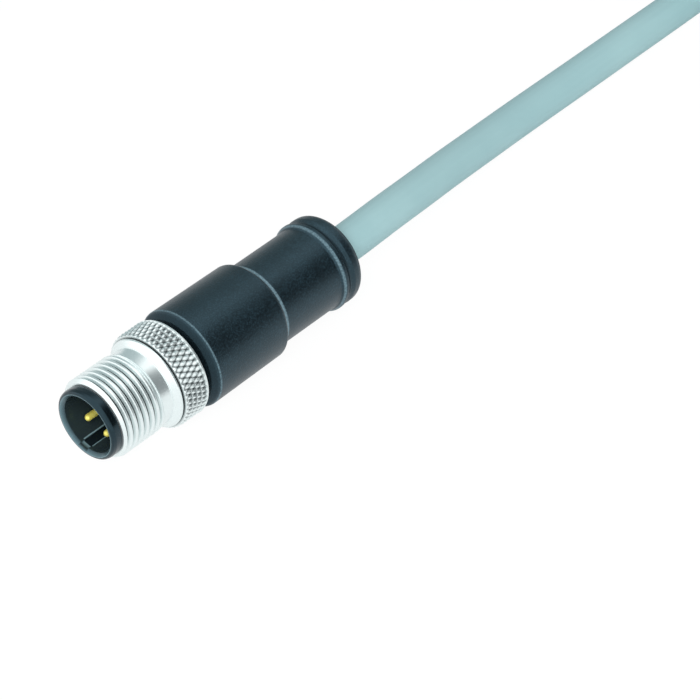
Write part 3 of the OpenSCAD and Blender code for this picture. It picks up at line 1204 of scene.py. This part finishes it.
def smooth_line(points: np.ndarray, per_span: int = 12) -> np.ndarray:
    """Draws a smooth line through points (a cubic between each two, with the slopes that
    the points on either side give).

    Args:
        points: rows of places.
        per_span: steps between two points.

    Returns:
        Rows of places, the given points among them.
    """
    ends = np.vstack([2 * points[0] - points[1], points, 2 * points[-1] - points[-2]])
    gaps = np.linalg.norm(np.diff(ends, axis=0), axis=1)[:, None]
    slopes = np.diff(ends, axis=0) / gaps
    tangents = (slopes[:-1] * gaps[1:] + slopes[1:] * gaps[:-1]) / (gaps[:-1] + gaps[1:])
    spans = gaps[1:-1][:, None]
    t = np.linspace(0.0, 1.0, per_span, endpoint=False)[None, :, None]
    p, q = points[:-1, None], points[1:, None]
    a, b = tangents[:-1, None] * spans, tangents[1:, None] * spans
    line = ((2 * t**3 - 3 * t**2 + 1) * p + (t**3 - 2 * t**2 + t) * a
            + (3 * t**2 - 2 * t**3) * q + (t**3 - t**2) * b)
    return np.vstack([line.reshape(-1, 3), points[-1]])


def evenly(line: np.ndarray, step: float) -> np.ndarray:
    """Spaces a line's points evenly.

    Args:
        line: rows of places, in metres.
        step: wanted distance between points, in metres.

    Returns:
        Rows of places along the same line, its two ends among them.
    """
    distance = np.concatenate([[0.0], np.cumsum(np.linalg.norm(np.diff(line, axis=0), axis=1))])
    even = np.linspace(0.0, distance[-1], int(round(distance[-1] / step)) + 1)
    return np.column_stack([np.interp(even, distance, line[:, k]) for k in range(3)])


def line_length(line: np.ndarray) -> float:
    """Length of a line of points, in metres."""
    return float(np.linalg.norm(np.diff(line, axis=0), axis=1).sum())


def frames_along(line: np.ndarray) -> tuple[np.ndarray, np.ndarray]:
    """Directions across a line that nowhere stands upright.

    Args:
        line: rows of places.

    Returns:
        For each point, the level direction across the line, and the one across both.
    """
    ahead = np.gradient(line, axis=0)
    ahead /= np.linalg.norm(ahead, axis=1, keepdims=True)
    across = np.cross(ahead, [0.0, 0.0, 1.0])
    across /= np.linalg.norm(across, axis=1, keepdims=True)
    return across, np.cross(across, ahead)


def tube(line: np.ndarray, radii: np.ndarray, angles: np.ndarray,
         twist: np.ndarray | float = 0.0) -> tuple[np.ndarray, np.ndarray]:
    """Carries a round section along a line and closes both ends with flat caps.

    A point at angle a lies at line + r (cos(a + twist) across + sin(a + twist) up).

    Args:
        line: rows of places, in metres.
        radii: one radius a row, or rows x columns, in metres.
        angles: angles of the section's points, in radians.
        twist: turn of the section at each row, in radians.

    Returns:
        The grid's points, and what its vertices carry: (distance, r cos a, r sin a).
    """
    across, up = frames_along(line)
    radii = np.broadcast_to(np.asarray(radii, dtype=float), (len(line), len(angles)))
    turned = angles[None, :] + np.reshape(twist, (-1, 1))
    side = radii * np.cos(turned)
    rise = radii * np.sin(turned)
    points = (line[:, None] + side[..., None] * across[:, None] + rise[..., None] * up[:, None])
    steps = np.linalg.norm(np.diff(line, axis=0), axis=1)
    distance = np.concatenate([[0.0], np.cumsum(steps)])
    run = np.stack([np.broadcast_to(distance[:, None], radii.shape), radii * np.cos(angles),
                    radii * np.sin(angles)], axis=-1)
    first = np.broadcast_to(line[:1, None], points[:1].shape)
    last = np.broadcast_to(line[-1:, None], points[-1:].shape)
    return np.vstack([first, points, last]), np.vstack([run[:1], run, run[-1:]])


@dataclass
class Cable:
    """Two metres of cable: the stretch behind the grip, and the hank that the rest is in.

    The hank has two columns of cable side by side. The outer column climbs a layer at
    each return run; its last far fold comes in to the inner column, which goes down a
    layer at each forward run. The end of the cable comes out inside the hank.

    Attributes:
        diameter: the cable's diameter, in metres.
        layers: number of layers.
        near: place of the near folds' centre along X, in metres.
        run: distance between the centres of the near and far folds, in metres.
        inner_fold: radius of the inner column's folds, at the cable's middle, in metres.
        side: place along Y of the outer column's runs towards +X, in metres.
        sides: points round the cable.
        lead: points of the stretch from the grip to the hank, in metres.
        tail: points of the last stretch, inside the hank, in metres.
        lift: how far the ties hold the hank off the surface, in metres.
    """

    diameter: float = 0.0057
    layers: int = 5
    near: float = 0.143
    run: float = 0.044
    inner_fold: float = 0.0173
    side: float = 0.0045
    lift: float = 0.0008
    sides: int = 40
    lead: tuple = (
        (0.028, 0.0, 0.0074), (0.032, 0.00025, 0.00725), (0.036, 0.0006, 0.007),
        (0.044, 0.0015, 0.0061), (0.052, 0.0026, 0.005), (0.06, 0.0035, 0.004),
        (0.068, 0.00415, 0.0033), (0.076, 0.00445, 0.00295), (0.084, 0.0045, 0.00285),
        (0.098, 0.0045, 0.00285), (0.112, 0.0045, 0.00285), (0.122, 0.0045, 0.003),
        (0.133, 0.0045, 0.0035), (0.143, 0.0045, 0.00365))
    tail: tuple = (
        (0.1805, -0.0354, 0.00365), (0.1745, -0.0345, 0.0035), (0.1685, -0.0329, 0.0031),
        (0.1625, -0.0306, 0.00285), (0.157, -0.0278, 0.00285))

    @property
    def exit(self) -> tuple[float, float, float]:
        """Where the cable leaves the grip's rear face."""
        low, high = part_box("jacket_end")
        return (high[0], 0.5 * (low[1] + high[1]), 0.5 * (low[2] + high[2]))

    @property
    def outer_fold(self) -> float:
        """Radius of the outer column's folds, at the cable's middle."""
        return self.inner_fold + self.diameter

    @property
    def middle(self) -> float:
        """Place of the hank's long axis along Y."""
        return self.side - self.outer_fold

    def height(self, layer: float) -> float:
        """Height of the cable's middle in a layer, counted from 0."""
        return self.lift + self.diameter * (layer + 0.5)

    def straight(self, forward: bool, sides: tuple[float, float],
                 layers: tuple[float, float]) -> np.ndarray:
        """One run of the hank, which may ease to another layer.

        Args:
            forward: whether it goes towards +X.
            sides: distance from the hank's long axis at its start and its end.
            layers: layer at its start and its end.

        Returns:
            Rows of places, without the last.
        """
        t = np.linspace(0.0, 1.0, 16, endpoint=False)
        ease = 0.5 - 0.5 * np.cos(np.pi * t)
        sign = 1.0 if forward else -1.0
        x = self.near + self.run * (t if forward else 1.0 - t)
        y = self.middle + sign * (sides[0] + (sides[1] - sides[0]) * ease)
        z = self.height(layers[0]) + self.diameter * (layers[1] - layers[0]) * ease
        return np.column_stack([x, y, z])

    def fold(self, far: bool, radii: tuple[float, float], layer: float) -> np.ndarray:
        """Half a turn round the near or the far end: x = centre + r sin, y = middle + r cos.

        Args:
            far: whether it is at the far end.
            radii: its radius at its start and its end.
            layer: the layer that it lies in.

        Returns:
            Rows of places, without the last.
        """
        t = np.linspace(0.0, 1.0, 20, endpoint=False)
        ease = 0.5 - 0.5 * np.cos(np.pi * t)
        radius = radii[0] + (radii[1] - radii[0]) * ease
        sign = 1.0 if far else -1.0
        x = self.near + (self.run if far else 0.0) + sign * radius * np.sin(np.pi * t)
        y = self.middle + sign * radius * np.cos(np.pi * t)
        return np.column_stack([x, y, np.full_like(t, self.height(layer))])

    def hank(self) -> np.ndarray:
        """Works out the hank's turns, from the near end of the first run to the last fold.

        Returns:
            Rows of places, in metres.
        """
        inner, outer, top = self.inner_fold, self.outer_fold, self.layers - 1
        parts = []
        for layer in range(self.layers):
            last = layer == top
            after = inner if last else outer
            above = layer if last else layer + 1
            parts += [self.straight(True, (outer, outer), (layer, layer)),
                      self.fold(True, (outer, after), layer),
                      self.straight(False, (after, after), (layer, above)),
                      self.fold(False, (after, after), above)]
        for layer in range(top - 1, -1, -1):
            parts += [self.straight(True, (inner, inner), (layer + 1, layer)),
                      self.fold(True, (inner, inner), layer)]
            if layer:
                parts += [self.straight(False, (inner, inner), (layer, layer)),
                          self.fold(False, (inner, inner), layer)]
        return np.vstack(parts)

    def line(self) -> np.ndarray:
        """Works out the cable's whole line, from the grip to its cut end.

        Returns:
            Rows of places about 2 mm apart.
        """
        lead = smooth_line(np.array([self.exit, *self.lead]))
        hank = self.hank()
        end = (self.near + self.run, self.middle - self.inner_fold, self.height(0))
        tail = smooth_line(np.array([end, *self.tail]))
        return evenly(np.vstack([lead[:-1], hank, tail]), 2.0 * MM)

    def build(self, finish: CableJacket) -> tuple[bpy.types.Object, np.ndarray]:
        """Makes the cable.

        Args:
            finish: its jacket.

        Returns:
            The cable, in place of its CAD solids, and the line that it follows.
        """
        line = self.line()
        angles = np.linspace(0.0, 2.0 * np.pi, self.sides, endpoint=False)
        points, run = tube(line, 0.5 * self.diameter, angles)
        cable = Skin().grid(points[:, ::-1], run=run[:, ::-1]).piece(
            "cable_jacket", Body.CONNECTOR, Slot.JACKET, ["cable", "cable_hank", "cable_tail"])
        cable.data.materials.append(finish.material())
        return cable, line


@dataclass
class CoreEnds:
    """The four cores that stand out of the cut jacket, with their tinned ends.

    Attributes:
        end: the cable's cut end, in metres.
        ahead: level direction in which the cable ends.
        radius: radius of a core, in metres.
        strand: radius of its tinned end, in metres.
        length: how far a core stands out of the jacket, in metres.
        straight: length of the straight stub at either end of a core, in metres.
        tinned: length of a tinned end, in metres.
        starts: places of the cores in the jacket, in mm.
        ends: places of the cores beside each other on the surface, in mm.
        tip_steps: rows of points along a tinned end.
        twist: turn of the strands along it, in radians.
    """

    end: np.ndarray
    ahead: np.ndarray
    radius: float = 0.00065
    strand: float = 0.00038
    length: float = 0.016
    straight: float = 0.0005
    tinned: float = 0.006
    starts: tuple = ((-0.9, -0.9), (-0.9, 0.9), (0.9, -0.9), (0.9, 0.9))
    ends: tuple = (-4.8, -1.6, 1.6, 4.8)
    tip_steps: int = 25
    twist: float = 2.4

    def line(self, number: int) -> np.ndarray:
        """Route of one core, which eases from its place in the jacket to its place beside
        the others on the surface. Both its ends are straight.

        Args:
            number: which core, from 0.

        Returns:
            Rows of places, in metres.
        """
        gone = np.linspace(0.0, self.length, 33)[:, None]
        t = np.clip((gone - self.straight) / (self.length - 2.0 * self.straight), 0.0, 1.0)
        ease = t * t * (3.0 - 2.0 * t)
        across = np.array([-self.ahead[1], self.ahead[0], 0.0])
        start = np.array(self.starts[number]) * MM
        stop = np.array([self.ends[number] * MM, self.radius - self.end[2]])
        place = start + (stop - start) * ease
        up = np.array([0.0, 0.0, 1.0])
        return self.end + gone * self.ahead + place[:, :1] * across + place[:, 1:] * up

    def build(self, finishes: Sequence[tuple[str, Slot, SmoothPlastic]],
              tin: TinnedCopper) -> list[bpy.types.Object]:
        """Makes the cores and their tinned ends.

        Args:
            finishes: for each core its colour's name, its slot and its insulation.
            tin: finish of the strands.

        Returns:
            The eight pieces, in place of their CAD nodes.
        """
        pieces = []
        angles = np.linspace(0.0, 2.0 * np.pi, 24, endpoint=False)
        lobes = np.linspace(0.0, 2.0 * np.pi, 56, endpoint=False)
        metal = tin.material()
        for number, (colour, slot, insulation) in enumerate(finishes):
            line = self.line(number)
            points, run = tube(line, self.radius, angles)
            core = Skin().grid(points[:, ::-1], run=run[:, ::-1]).piece(
                f"{colour}_lead", Body.CONNECTOR, slot, [f"{colour}_core_end"])
            core.data.materials.append(insulation.material())
            tip = line[-1] + np.linspace(0.0, self.tinned, self.tip_steps)[:, None] * self.ahead
            taper = np.ones(self.tip_steps)
            taper[-3:] = (0.97, 0.88, 0.7)
            radii = self.strand * taper[:, None] * (0.93 + 0.07 * np.cos(7.0 * lobes))
            points, run = tube(tip, radii, lobes, np.linspace(0.0, self.twist, self.tip_steps))
            strands = Skin().grid(points[:, ::-1], run=run[:, ::-1]).piece(
                f"{colour}_strands", Body.CONNECTOR, Slot.TINNED, [f"{colour}_tinned_end"])
            strands.data.materials.append(metal)
            pieces += [core, strands]
        return pieces


@dataclass
class Tie:
    """A hook-and-loop strap round the cables of one side of the hank.

    Attributes:
        node: the CAD node that it stands for.
        inner_side: 1 where the hank's hole lies towards +Y of it, or -1.
        corner: radius of its bends, at its middle, in mm.
        overlap: length of the end that laps over, in mm.
        step: distance between its rows of points, in mm.
    """

    node: str
    inner_side: int
    width: float = 4.0
    thickness: float = 0.8
    corner: float = 1.9
    overlap: float = 14.0
    step: float = 0.6

    def outline(self, inside: tuple[float, float], steps: int = 8) -> np.ndarray:
        """Rounded rectangle at the middle of the strap, from the middle of its inner side.

        Args:
            inside: width and height of the space in the strap, in mm.
            steps: points on each corner.

        Returns:
            Rows of (sideways, up) places from the middle, in mm.
        """
        half = np.array(inside) / 2 + self.thickness / 2
        corners = np.array([(1, 1), (-1, 1), (-1, -1), (1, -1)])
        arcs = []
        for k, corner in enumerate(corners):
            angle = np.radians(90.0 * k) + np.linspace(0.0, 0.5 * np.pi, steps)
            middle = corner * (half - self.corner)
            arcs.append(middle + self.corner * np.column_stack([np.cos(angle), np.sin(angle)]))
        ring = np.vstack([[(half[0], 0.0)], *arcs, [(half[0], 0.0)]])
        return ring * (self.inner_side, 1.0)

    def build(self, finish: SmoothPlastic) -> bpy.types.Object:
        """Makes the strap, whose end laps over its beginning on the hank's inner side.

        Args:
            finish: its webbing.

        Returns:
            The strap, in place of the CAD node.
        """
        low, high = (np.array(c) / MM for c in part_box(self.node))
        size = high - low
        inside = (size[1] - 2 * self.thickness, size[2] - 2 * self.thickness)
        ring = self.outline(inside)
        closed = np.column_stack([np.zeros(len(ring)), ring])
        length = line_length(closed)
        once = evenly(closed, self.step)
        lap = once[: int(self.overlap / self.step)]
        way = np.vstack([once, lap[1:]])[:, 1:]
        gone = np.concatenate([[0.0], np.cumsum(np.linalg.norm(np.diff(way, axis=0), axis=1))])
        ahead = np.gradient(way, axis=0)
        ahead /= np.linalg.norm(ahead, axis=1, keepdims=True)
        outward = np.column_stack([ahead[:, 1], -ahead[:, 0]]) * self.inner_side
        over = np.clip((gone - length + 2.0) / 3.0, 0.0, 1.0)
        way = way + outward * (over * over * (3.0 - 2.0 * over) * self.thickness)[:, None]
        w, h, r = self.width / 2, self.thickness / 2 - 0.03, 0.2
        section = np.array([(-w, -h + r), (-w + r, -h), (w - r, -h), (w, -h + r),
                            (w, h - r), (w - r, h), (-w + r, h), (-w, h - r)])
        middle = 0.5 * (low + high)
        flat = way[:, None] + section[None, :, 1:] * outward[:, None]
        across = np.broadcast_to(section[None, :, :1], flat.shape[:2] + (1,))
        points = (middle + np.concatenate([across, flat], axis=-1)) * MM
        first, last = points[:1].mean(1, keepdims=True), points[-1:].mean(1, keepdims=True)
        points = np.vstack([np.broadcast_to(first, points[:1].shape), points,
                            np.broadcast_to(last, points[:1].shape)])
        strap = Skin().grid(points[:, ::self.inner_side]).piece(
            self.node.replace("_tie", "_strap"), Body.CONNECTOR, Slot.TIE, [self.node], 50.0)
        strap.data.materials.append(finish.material())
        return strap


# --------------------------------------------------------------------------- the studio


@dataclass(frozen=True)
class Lamp:
    """One soft white lamp, which reflections don't show.

    Attributes:
        name: the lamp's name.
        place: where it hangs, in metres.
        aim: the point that it faces, in metres.
        size: width and height, in metres.
        power: in watts.
    """

    name: str
    place: tuple[float, float, float]
    aim: tuple[float, float, float]
    size: tuple[float, float]
    power: float

    def build(self) -> None:
        """Hangs the lamp."""
        data = bpy.data.lights.new(self.name, "AREA")
        data.shape = "RECTANGLE"
        data.size, data.size_y = self.size
        data.energy = self.power
        lamp = bpy.data.objects.new(self.name, data)
        way = Vector(self.aim) - Vector(self.place)
        lamp.matrix_world = (Matrix.Translation(self.place)
                             @ way.to_track_quat("-Z", "Y").to_matrix().to_4x4())
        lamp.visible_glossy = False
        bpy.context.scene.collection.objects.link(lamp)


@dataclass(frozen=True)
class Side:
    """A darker side of the studio, seen in reflections.

    Attributes:
        middle: unit direction of its middle.
        outer: cosine of the angle from the middle at which it starts.
        inner: cosine of the angle within which it has its own colour.
        colour: its colour.
    """

    middle: tuple[float, float, float]
    outer: float
    inner: float
    colour: tuple


@dataclass
class Studio:
    """Camera, floor, world and lamp.

    Attributes:
        azimuth: direction from the object to the camera, from -Y towards +X, in degrees.
        elevation: angle of that direction above the floor, in degrees.
        distance: from the target to the camera, in metres.
        target: the point at the middle of the view, in metres.
        lens: focal length, in mm.
        ambient: strength of the even light.
        sides: darker sides of the room that reflections show.
        room_light: colour of the rest of it, over 1 because it holds the studio's lights.
        floor_half: half the floor's width, in metres.
        floor_glow: strength of the white that the floor shows.
        floor_shown: share of that white, the rest being the lit floor.
        white: colour of the background and of the floor's own light.
    """

    azimuth: float = -48.412
    elevation: float = 40.601
    distance: float = 0.4
    target: tuple[float, float, float] = (0.010475, -0.015683, 0.00745)
    lens: float = 153.5
    ambient: float = 0.54
    sides: tuple[Side, ...] = (
        Side((0.576, -0.71, 0.406), 0.68, 0.93, (0.05, 0.065, 0.07, 1.0)),
        Side((0.568, 0.8, 0.2), 0.42, 0.86, (0.36, 0.45, 0.46, 1.0)))
    room_light: tuple = (1.42, 1.42, 1.42, 1.0)
    floor_half: float = 3.0
    floor_glow: float = 1.03
    floor_shown: float = 0.92
    white: tuple = (1.0, 1.0, 1.0, 1.0)

    def camera(self) -> None:
        """Stands the camera at the azimuth and elevation, aimed at the target."""
        a, e = math.radians(self.azimuth), math.radians(self.elevation)
        back = Vector((math.sin(a) * math.cos(e), -math.cos(a) * math.cos(e), math.sin(e)))
        data = bpy.data.cameras.new("camera")
        data.lens, data.sensor_width = self.lens, 36.0
        data.clip_start, data.clip_end = 0.01, 20.0
        camera = bpy.data.objects.new("camera", data)
        place = Vector(self.target) + back * self.distance
        camera.matrix_world = (Matrix.Translation(place)
                               @ back.to_track_quat("Z", "Y").to_matrix().to_4x4())
        bpy.context.scene.collection.objects.link(camera)
        bpy.context.scene.camera = camera

    def floor(self) -> None:
        """Lays a pale floor, which looks white and keeps the object's faint shadow."""
        half = self.floor_half
        mesh = bpy.data.meshes.new("floor")
        mesh.from_pydata([(-half, -half, 0), (half, -half, 0), (half, half, 0), (-half, half, 0)],
                         [], [(0, 1, 2, 3)])
        floor = bpy.data.objects.new("floor", mesh)
        bpy.context.scene.collection.objects.link(floor)
        s = Shader.named("floor_paint")
        seen = self.seen(s)
        paint = s.node("ShaderNodeBsdfDiffuse", sockets={"Color": (0.86, 0.87, 0.87, 1.0)})
        glow = s.node("ShaderNodeEmission", sockets={"Color": self.white,
                                                     "Strength": self.floor_glow})
        mix = s.node("ShaderNodeMixShader", sockets={
            0: seen * self.floor_shown, 1: s.wire(paint, "BSDF"), 2: s.wire(glow, "Emission")})
        s.node("ShaderNodeOutputMaterial", sockets={0: s.wire(mix)})
        mesh.materials.append(s.holder)

    @staticmethod
    def seen(s: Shader) -> Wire:
        """1 for rays that show the surroundings as they look, 0 for rays that light."""
        path = s.node("ShaderNodeLightPath")
        camera = s.wire(path, "Is Camera Ray")
        glossy = s.wire(path, "Is Glossy Ray")
        return camera.maths("MAXIMUM", glossy).maths("MAXIMUM",
                                                     s.wire(path, "Is Transmission Ray"))

    def world(self) -> None:
        """Lights the scene evenly, in front of a white background. Reflections show a bright
        room with darker sides, which stay where they are when the camera moves."""
        world = bpy.data.worlds.new("studio")
        bpy.context.scene.world = world
        s = Shader(world)
        way = s.wire(s.node("ShaderNodeTexCoord"), "Generated")
        room = self.room_light
        for side in self.sides:
            toward = s.wire(s.node("ShaderNodeVectorMath", {"operation": "DOT_PRODUCT"},
                                   {0: way, 1: side.middle}), "Value")
            room = s.colours(toward.band(side.outer, side.inner), room, side.colour)
        path = s.node("ShaderNodeLightPath")
        soft = s.node("ShaderNodeBackground", sockets={"Color": (0.94, 0.97, 1.0, 1.0),
                                                       "Strength": self.ambient})
        shown = s.node("ShaderNodeBackground", sockets={"Color": room, "Strength": 1.0})
        white = s.node("ShaderNodeBackground", sockets={"Color": self.white, "Strength": 1.0})
        inner = s.node("ShaderNodeMixShader", sockets={
            0: s.wire(path, "Is Glossy Ray"), 1: s.wire(soft), 2: s.wire(shown)})
        clear = s.wire(path, "Is Camera Ray").maths("MAXIMUM", s.wire(path, "Is Transmission Ray"))
        mix = s.node("ShaderNodeMixShader", sockets={0: clear, 1: s.wire(inner), 2: s.wire(white)})
        s.node("ShaderNodeOutputWorld", sockets={0: s.wire(mix)})

    def lamps(self) -> None:
        """Hangs the one lamp, behind the camera and a little above its line."""
        Lamp("key", place=(-0.5, -0.42, 0.62), aim=(0.0, 0.0, 0.0), size=(0.45, 0.45),
             power=6.2).build()

    def build(self) -> None:
        """Sets up the view transform and all of the studio."""
        bpy.context.scene.view_settings.view_transform = "Standard"
        self.camera()
        self.floor()
        self.world()
        self.lamps()


def main() -> None:
    """Builds the studio, then the cable, then the connector, and logs each piece."""
    logging.basicConfig(level=logging.INFO, format="%(name)s: %(message)s")
    Studio().build()

    jacket = CableJacket("grey_jacket", rgb(156, 191, 194), rgb(165, 199, 201))
    cable, line = Cable().build(jacket)
    ahead = line[-1] - line[-2]
    ahead[2] = 0.0
    ahead /= np.linalg.norm(ahead)
    insulation = [
        ("brown", Slot.BROWN, SmoothPlastic("brown_insulation", rgb(104, 62, 36), 0.35)),
        ("white", Slot.WHITE, SmoothPlastic("white_insulation", rgb(226, 224, 216), 0.35)),
        ("blue", Slot.BLUE, SmoothPlastic("blue_insulation", rgb(44, 92, 158), 0.35)),
        ("black", Slot.BLACK, SmoothPlastic("black_insulation", rgb(26, 27, 29), 0.35))]
    tin = TinnedCopper("tinned_copper", rgb(206, 206, 204), rgb(150, 150, 150))
    cores = CoreEnds(line[-1], ahead).build(insulation, tin)
    webbing = SmoothPlastic("strap_webbing", rgb(34, 36, 38), 0.7)
    ties = [Tie("near_hank_tie", -1).build(webbing), Tie("far_hank_tie", 1).build(webbing)]
    cores + ties
    LOG.info("cable: %.3f m of jacket", line_length(line))

    axis = Axis.from_frame()
    # The plating's second colour is the painted shade in its grooves.
    CouplingRing(axis).build(NickelPlate("nickel_plate", rgb(230, 240, 240), rgb(38, 50, 54),
                                         0.28))
    # The insert's edge colour is that of its painted highlights; its keyway takes the painted
    # shade.
    Carrier(axis).build(MouldedPlastic("insert_plastic", rgb(7, 10, 12), rgb(14, 20, 23),
                                       roughness=0.22, grain_size=0.16, grain_depth=0.003,
                                       shine=0.65, sparkle=0.3, edge=(0.19, 0.3, 0.33, 1.0)))
    Contacts(axis).build(GoldPlate("gold_plate", rgb(255, 244, 128), rgb(246, 228, 104)))
    grip = Grip(axis)
    edges, shades = grip.lines()
    grip.build(MouldedPlastic("grip_moulding", rgb(2, 3, 5), rgb(27, 43, 51),
                              roughness=0.4, grain_size=0.22, grain_depth=0.035, shine=0.8,
                              edges=edges, shades=shades))

    carried = {
        "inner_mould": SmoothPlastic("sealing_mould", rgb(60, 66, 70), 0.5),
        "jacket_end": jacket}
    carried |= {f"{colour}_core": finish for colour, _, finish in insulation}
    for node, finish in carried.items():
        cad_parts[node].data.materials.clear()
        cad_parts[node].data.materials.append(finish.material())
        LOG.info("%s: carried over from the frame", node)


if __name__ == "__main__":
    main()
